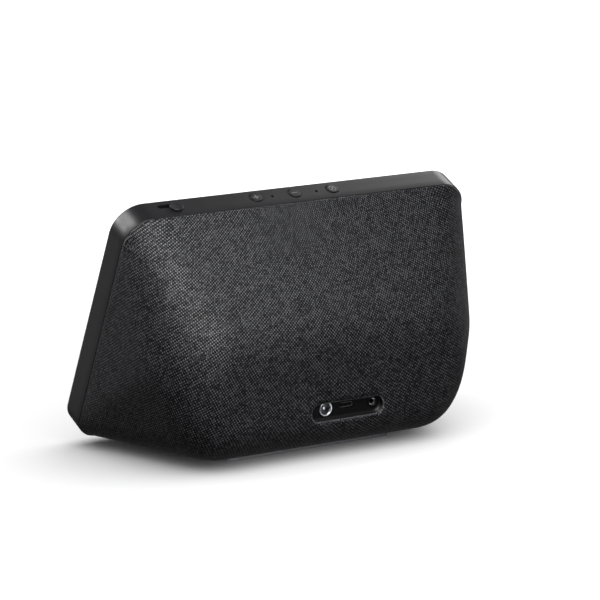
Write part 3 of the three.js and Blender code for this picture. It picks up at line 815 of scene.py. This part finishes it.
# ------ the hem of the recess and its thread loops ------
def rimOnSkin(grow, lift):
    outline = stadiumPoints(socket["length"] + 2 * grow, socket["height"] + 2 * grow, 40, 30)
    points = []
    for x, z in outline:
        outside, inside = Vector(onSocket(x, 30, z)), Vector(onSocket(x, 0, z))
        hit = bodySkin.ray_cast(outside, (inside - outside).normalized())[0]
        local = intoSocket(hit)
        points.append(Vector(onSocket(local[0], local[1] + lift, local[2])))
    return points


def makeHem():
    sizes = {"radius": 0.4, "sink": -0.75, "grow": -0.2, "sides": 10}
    path = rimOnSkin(sizes["grow"], sizes["sink"])
    outward = Vector(onSocket(0, 1, 0)) - Vector(onSocket(0, 0, 0))
    rings = []
    for k, point in enumerate(path):
        along = (path[(k + 1) % len(path)] - path[k - 1]).normalized()
        side = along.cross(outward).normalized()
        wave = sizes["radius"] * (1 + 0.12 * math.sin(k * 2.4))
        ring = []
        for step in range(sizes["sides"]):
            angle = 2 * math.pi * step / sizes["sides"]
            ring.append(tuple(point + (side * math.cos(angle) + outward * math.sin(angle)) * wave))
        rings.append(ring)
    # painted highlight: the hem wears the lighter copy of the cloth
    piece = makePiece("recessHem", loft(rings, loop=True), materials["hem"])
    layer = piece.data.uv_layers.new(name="threads")
    for face in piece.data.polygons:
        for loop in face.loop_indices:
            co = piece.data.vertices[piece.data.loops[loop].vertex_index].co
            layer.data[loop].uv = (co.x * 1000, (co.z - co.y) * 1000)
    settle(piece, "speaker")
    return piece


# one closed path in, a thread loop round it at every pitch out
def loopNodes():
    tree = bpy.data.node_groups.new("hemLoops", "GeometryNodeTree")
    tree.interface.new_socket("Geometry", in_out="INPUT", socket_type="NodeSocketGeometry")
    for label in ("Pitch", "Loop Radius", "Thread Radius", "Slant", "Unevenness"):
        tree.interface.new_socket(label, in_out="INPUT", socket_type="NodeSocketFloat")
    tree.interface.new_socket("Seed", in_out="INPUT", socket_type="NodeSocketInt")
    tree.interface.new_socket("Material", in_out="INPUT", socket_type="NodeSocketMaterial")
    tree.interface.new_socket("Geometry", in_out="OUTPUT", socket_type="NodeSocketGeometry")
    add = partial(addNode, tree)
    given = add("NodeGroupInput").outputs
    path = add("GeometryNodeMeshToCurve", [given["Geometry"]])
    spots = add("GeometryNodeResampleCurve", {"Curve": path, "Length": given["Pitch"]}, mode="LENGTH")
    loop = add("GeometryNodeCurvePrimitiveCircle", {"Resolution": 20, "Radius": given["Loop Radius"]})
    section = add("GeometryNodeCurvePrimitiveCircle", {"Resolution": 8, "Radius": given["Thread Radius"]})
    ring = add("GeometryNodeCurveToMesh", {"Curve": loop, "Profile Curve": section})
    tangent = add("GeometryNodeInputTangent")
    facing = add("FunctionNodeAlignRotationToVector", {"Vector": tangent}, axis="Z")
    less = add("ShaderNodeMath", [given["Unevenness"], -1.0], operation="MULTIPLY")
    limits = {2: less, 3: given["Unevenness"], 8: given["Seed"]}  # least, most and seed of a plain number
    wander = add("FunctionNodeRandomValue", limits).outputs[1]
    lean = add("ShaderNodeMath", [given["Slant"], wander], operation="ADD")
    swing = add("ShaderNodeCombineXYZ", [lean, wander])
    tilt = add("FunctionNodeEulerToRotation", [swing])
    turn = add("FunctionNodeRotateRotation", [facing, tilt], rotation_space="LOCAL")
    size = add("ShaderNodeMath", [wander, 0.5, 1.0], operation="MULTIPLY_ADD")
    where = {"Points": spots, "Instance": ring, "Rotation": turn, "Scale": size}
    loops = add("GeometryNodeInstanceOnPoints", where)
    solid = add("GeometryNodeRealizeInstances", [loops])
    dressed = add("GeometryNodeSetMaterial", {"Geometry": solid, "Material": given["Material"]})
    add("NodeGroupOutput", [dressed])
    return tree


def makeLoops():
    values = {"Pitch": 0.00093, "Loop Radius": 0.00044, "Thread Radius": 0.00015}
    values |= {"Slant": 0.45, "Unevenness": 0.3, "Seed": 7, "Material": materials["thread"]}
    path = rimOnSkin(-0.2, -0.7)
    count = len(path)
    mesh = bpy.data.meshes.new("hemPath")
    mesh.from_pydata([p / 1000 for p in path], [(k, (k + 1) % count) for k in range(count)], [])
    piece = bpy.data.objects.new("hemLoops", mesh)
    bpy.context.scene.collection.objects.link(piece)
    modifier = piece.modifiers.new("hemLoops", "NODES")
    modifier.node_group = loopNodes()
    for item in modifier.node_group.interface.items_tree:
        if item.in_out == "INPUT" and item.name in values:
            modifier[item.identifier] = values[item.name]
    bake(piece)
    piece.data.shade_smooth()
    settle(piece, "speaker")
    return piece


hem, loops = makeHem(), makeLoops()
print("hem made:", len(loops.data.polygons), "faces in its thread loops")


# ------ the sockets ------
# rings of length, height, place along the socket's axis and, where it isn't level, lift
def stadiumLoft(name, rings, material, at=(0, 0)):
    shaped = []
    for length, height, along, *lift in rings:
        up = at[1] + sum(lift)
        shaped.append([onSocket(at[0] + x, along, up + z) for x, z in stadiumPoints(length, height, 20, 8)])
    return makePiece(name, loft(shaped, capFirst=True, capLast=True), material)


def socketTurned(name, profile, at, material, steps=56, closed=False):
    put = lambda x, along, z: onSocket(at[0] + x, along, at[1] + z)
    return makePiece(name, turned(profile, put, steps, closed), material)


places = {"power": (12.0, 1.1), "usb": (-1.1, 1.2), "audio": (-16.4, 0.8)}
socketFloor = -socket["depth"]


def makeDish():
    length, height, dark = socket["length"], socket["height"], materials["dish"]
    back, front, rim = socketFloor - socket["floor"], -socket["lip"], 2 * socket["rim"]
    rings = [(length + rim, height + rim, back), (length + rim, height + rim, front)]
    rings += [(length + 0.5, height + 0.5, front)]
    for step in range(1, 5):  # rolled lip
        angle = math.radians(90 * step / 4)
        grow = 0.5 - math.sin(angle)
        rings.append((length + grow, height + grow, front - 0.35 * (1 - math.cos(angle))))
    # the sloped wall is wider below the sockets than above them
    for shrink, along, lift in ((1.4, 0.22, 0.62), (1.7, 0.05, 0.7), (1.9, 0.0, 0.75)):
        rings.append((length - shrink, height - shrink, socketFloor + along, lift))
    dish = stadiumLoft("socketDish", rings, dark)
    cutters = [
        socketTurned("powerCutter", [(0, -8), (4.0, -8), (4.0, 0), (0, 0)], places["power"], dark),
        stadiumLoft("usbCutter", [(8.4, 3.2, -8), (8.4, 3.2, 0)], dark, places["usb"]),
        socketTurned("audioCutter", [(0, -8), (3.1, -8), (3.1, 0), (0, 0)], places["audio"], dark),
    ]
    settle(carve(dish, cutters), "speaker", "port_panel")


def makeSockets():
    floor, nickel = socketFloor, materials["nickel"]
    profile = [(0, -14), (3.7, -14), (3.7, floor + 0.9), (3.62, floor + 1.1), (3.45, floor + 1.2)]
    profile += [(3.2, floor + 1.16), (2.95, floor + 0.95), (2.78, floor + 0.6), (2.7, floor + 0.2)]
    profile += [(2.7, -13), (0.95, -13), (0.95, -13.4), (0, -13.4)]
    jack = socketTurned("powerSleeve", profile, places["power"], nickel)
    settle(jack, "speaker", "dc_jack")
    profile = [(0, -13.1), (0.85, -13.1), (0.85, floor - 0.9), (0.76, floor - 0.6)]
    profile += [(0.5, floor - 0.42), (0, floor - 0.35)]
    pin = socketTurned("powerPin", profile, places["power"], nickel, 32)
    settle(pin, "speaker", "dc_jack_pin")

    rings = [(7.8, 2.6, -9), (7.8, 2.6, floor - 0.85), (7.6, 2.4, floor - 0.8)]
    rings += [(7.1, 1.9, floor - 0.88), (7.0, 1.8, floor - 1.1), (7.0, 1.8, -8.4)]
    usb = stadiumLoft("usbSleeve", rings, nickel, places["usb"])
    settle(usb, "speaker", "usb_shell")

    profile = [(0, -14), (2.8, -14), (2.8, floor + 0.02), (2.7, floor + 0.1), (1.95, floor + 0.1)]
    profile += [(1.8, floor - 0.05), (1.8, -13), (0, -13)]
    audio = socketTurned("audioSleeve", profile, places["audio"], materials["dish"])
    settle(audio, "speaker", "audio_jack")
    profile = [(1.25, floor - 1.5), (1.78, floor - 1.5), (1.78, floor - 0.5), (1.55, floor - 0.5)]
    contact = socketTurned("audioContactRing", profile, places["audio"], nickel, closed=True)
    settle(contact, "speaker")


makeDish()
makeSockets()
print("sockets made")


# ------ glass, foot and base plate ------
def makeGlass():
    sizes = {"inset": 1.6, "front": 0.3, "back": 1.5, "edge": 0.3}
    front, edge, inset = sizes["front"], sizes["edge"], sizes["inset"]
    profile = [(inset + 0.1, sizes["back"]), (inset, sizes["back"] - 0.1), (inset, front + edge)]
    for step in range(1, 6):
        angle = math.radians(90 * step / 5)
        profile.append((inset + edge - edge * math.cos(angle), front + edge - edge * math.sin(angle)))
    rings = [[onTilt(u, into, v) for u, v in outlinePoints(i, 24, 16)] for i, into in profile]
    glass = makePiece("screenGlass", loft(rings, capFirst=True, capLast=True), materials["glass"])
    settle(glass, "speaker", "cover_glass")


def standOutline(inset):
    halfX, halfY = stand["length"] / 2 - inset, stand["width"] / 2 - inset
    radius, middle = stand["radius"] - inset, stand["rear"] - stand["width"] / 2
    points = []
    for sx, sy, start in ((1, -1, -90), (1, 1, 0), (-1, 1, 90), (-1, -1, 180)):
        for step in range(13):
            angle = math.radians(start + 90 * step / 12)
            x = sx * (halfX - radius) + radius * math.cos(angle)
            points.append((x, middle + sy * (halfY - radius) + radius * math.sin(angle)))
    return points


def makeFoot():
    profile = [(0.7, 0.0), (0.25, 0.12), (0.0, 0.45), (0.0, 1.7), (0.12, 1.92), (0.4, 2.0)]
    rings = [[onBody(x, y, up) for x, y in standOutline(inset)] for inset, up in profile]
    foot = makePiece("standFoot", loft(rings, capFirst=True, capLast=True), materials["rubber"])
    settle(foot, "speaker", "rubber_foot")


makeGlass()
makeFoot()
print("glass and foot made")


# ------ finishes of the CAD nodes that stay ------
def dressNodes():
    finishes = {
        "satin_black_plastic": "band",
        "inner_black_plastic": "inner",
        "charcoal_fabric": "fabric",
        "black_glass": "glass",
        "soft_rubber": "rubber",
        "bright_metal": "nickel",
        "sheet_metal": "sheet",
        "screw_steel": "screw",
        "circuit_board": "board",
        "amber_film": "film",
        "paper_cone": "pulp",
        "ferrite": "ferrite",
        "display_module": "panel",
    }
    slots = {row["node"]: row["material_slot"] for row in frame["record"]["subparts"]}
    for node, obj in frame["nodes"].items():
        obj.data.materials.clear()
        obj.data.materials.append(materials[finishes[slots[node]]])


dressNodes()


# ------ camera, floor and light ------
view = {
    "azimuth": math.radians(147.59),
    "elevation": math.radians(12.39),
    "distance": 1.6063,
    "target": (0.0, -0.0057, 0.0714),
    "lens": 191.16,
    "shift": (0.0358, -0.0016),
}


def makeCamera():
    a, e = view["azimuth"], view["elevation"]
    back = Vector((math.sin(a) * math.cos(e), -math.cos(a) * math.cos(e), math.sin(e)))
    data = bpy.data.cameras.new("camera")
    data.sensor_width, data.lens = 36.0, view["lens"]
    data.shift_x, data.shift_y = view["shift"]
    data.clip_end = 20
    camera = bpy.data.objects.new("camera", data)
    camera.location = Vector(view["target"]) + back * view["distance"]
    camera.rotation_euler = (-back).to_track_quat("-Z", "Y").to_euler()
    bpy.context.scene.collection.objects.link(camera)
    bpy.context.scene.camera = camera


def makeFloor():
    bm = bmesh.new()
    bmesh.ops.create_grid(bm, x_segments=1, y_segments=1, size=6)
    mesh = bpy.data.meshes.new("floor")
    bm.to_mesh(mesh)
    bm.free()
    material, shader, add = newMaterial("mattPaperSweep")  # paper: even and matt
    # painted glow: the floor's own emission grows with the distance from the middle, so it glows a little
    # further out, as a sweep lit evenly to the back would
    place = add("ShaderNodeTexCoord").outputs["Object"]
    away = add("ShaderNodeVectorMath", [place], operation="LENGTH").outputs["Value"]
    glow = add("ShaderNodeMath", [away, 1.4, -0.35], operation="MULTIPLY_ADD", use_clamp=True)
    fill(shader, {"Base Color": hexColor("#f6f6f6"), "Roughness": 0.9, "Specular IOR Level": 0.1})
    fill(shader, {"Emission Color": (1, 1, 1, 1), "Emission Strength": glow})
    mesh.materials.append(material)
    floor = bpy.data.objects.new("floor", mesh)
    bpy.context.scene.collection.objects.link(floor)
    floor.visible_diffuse = False
    floor.visible_glossy = False
    return floor


def addLight(name, direction, distance, size, power, lit):
    data = bpy.data.lights.new(name, "AREA")
    data.size, data.energy = size, power
    lamp = bpy.data.objects.new(name, data)
    outward = Vector(direction).normalized()
    lamp.location = Vector(view["target"]) + outward * distance
    lamp.rotation_euler = (-outward).to_track_quat("-Z", "Y").to_euler()
    lamp.visible_camera = False
    lamp.light_linking.receiver_collection = lit
    bpy.context.scene.collection.objects.link(lamp)


# the floor has its own lights, so that the object's don't draw hard shadows on it
def linkLists(floor):
    lists = {}
    chosen = {"metalOnly": ("powerSleeve", "powerPin", "audioContactRing")}
    chosen |= {"bandOnly": ("frameBand",), "footOnly": ("standFoot",)}
    for name, pieces in chosen.items():
        lists[name] = bpy.data.collections.new(name)
        for piece in pieces:
            lists[name].objects.link(bpy.data.objects[piece])
    for name, state in (("floorOnly", "INCLUDE"), ("allButFloor", "EXCLUDE")):
        lists[name] = bpy.data.collections.new(name)
        lists[name].objects.link(floor)
        lists[name].collection_objects[0].light_linking.link_state = state
    return lists


def makeWorld():
    world = bpy.data.worlds.new("studio")
    bpy.context.scene.world = world
    world.use_nodes = True
    tree = world.node_tree
    tree.nodes.clear()
    seen = addNode(tree, "ShaderNodeBackground", {"Color": (1, 1, 1, 1), "Strength": 1.1})
    lit = addNode(tree, "ShaderNodeBackground", {"Color": (1, 1, 1, 1), "Strength": 0.08})
    toCamera = addNode(tree, "ShaderNodeLightPath").outputs["Is Camera Ray"]
    mix = addNode(tree, "ShaderNodeMixShader", [toCamera, lit, seen])
    addNode(tree, "ShaderNodeOutputWorld", {"Surface": mix})


makeCamera()
lists = linkLists(makeFloor())
makeWorld()
lights = {  # direction from the middle of the object, distance, size, power, what it lights
    "rearKey": ((0.35, 0.7, 0.6), 0.32, 0.12, 0.38, "allButFloor"),
    "highKey": ((0.3, 0.6, 0.75), 0.4, 0.15, 0.38, "allButFloor"),
    "backStrip": ((0.0, 0.8, 0.65), 0.5, 0.1, 0.34, "allButFloor"),
    "lowStrip": ((0.1, 0.9, 0.25), 0.5, 0.2, 0.3, "allButFloor"),
    "farStrip": ((-0.75, -0.36, 0.5), 1.1, 0.5, 3.02, "allButFloor"),
    "cornerStrip": ((0.52, -0.37, 0.74), 1.1, 0.35, 4.5, "allButFloor"),
    "sideStrip": ((0.85, -0.6, 0.6), 0.5, 0.12, 0.7, "allButFloor"),
    "floorPanel": ((-0.15, 0.6, 1.0), 1.1, 4.0, 92.0, "floorOnly"),
    "socketCard": ((-0.02, 0.126, -0.067), 0.145, 0.1, 0.05, "metalOnly"),
    "sideCard": ((0.698, -0.695, -0.15), 0.37, 0.16, 0.022, "bandOnly"),
    "footCard": ((0.1, 0.256, -0.0514), 0.28, 0.04, 0.28, "footOnly"),
}
for name, (direction, distance, size, power, lit) in lights.items():
    addLight(name, direction, distance, size, power, lists[lit])
scene = bpy.context.scene
scene.view_settings.view_transform = "Standard"
print("camera, floor and light made")
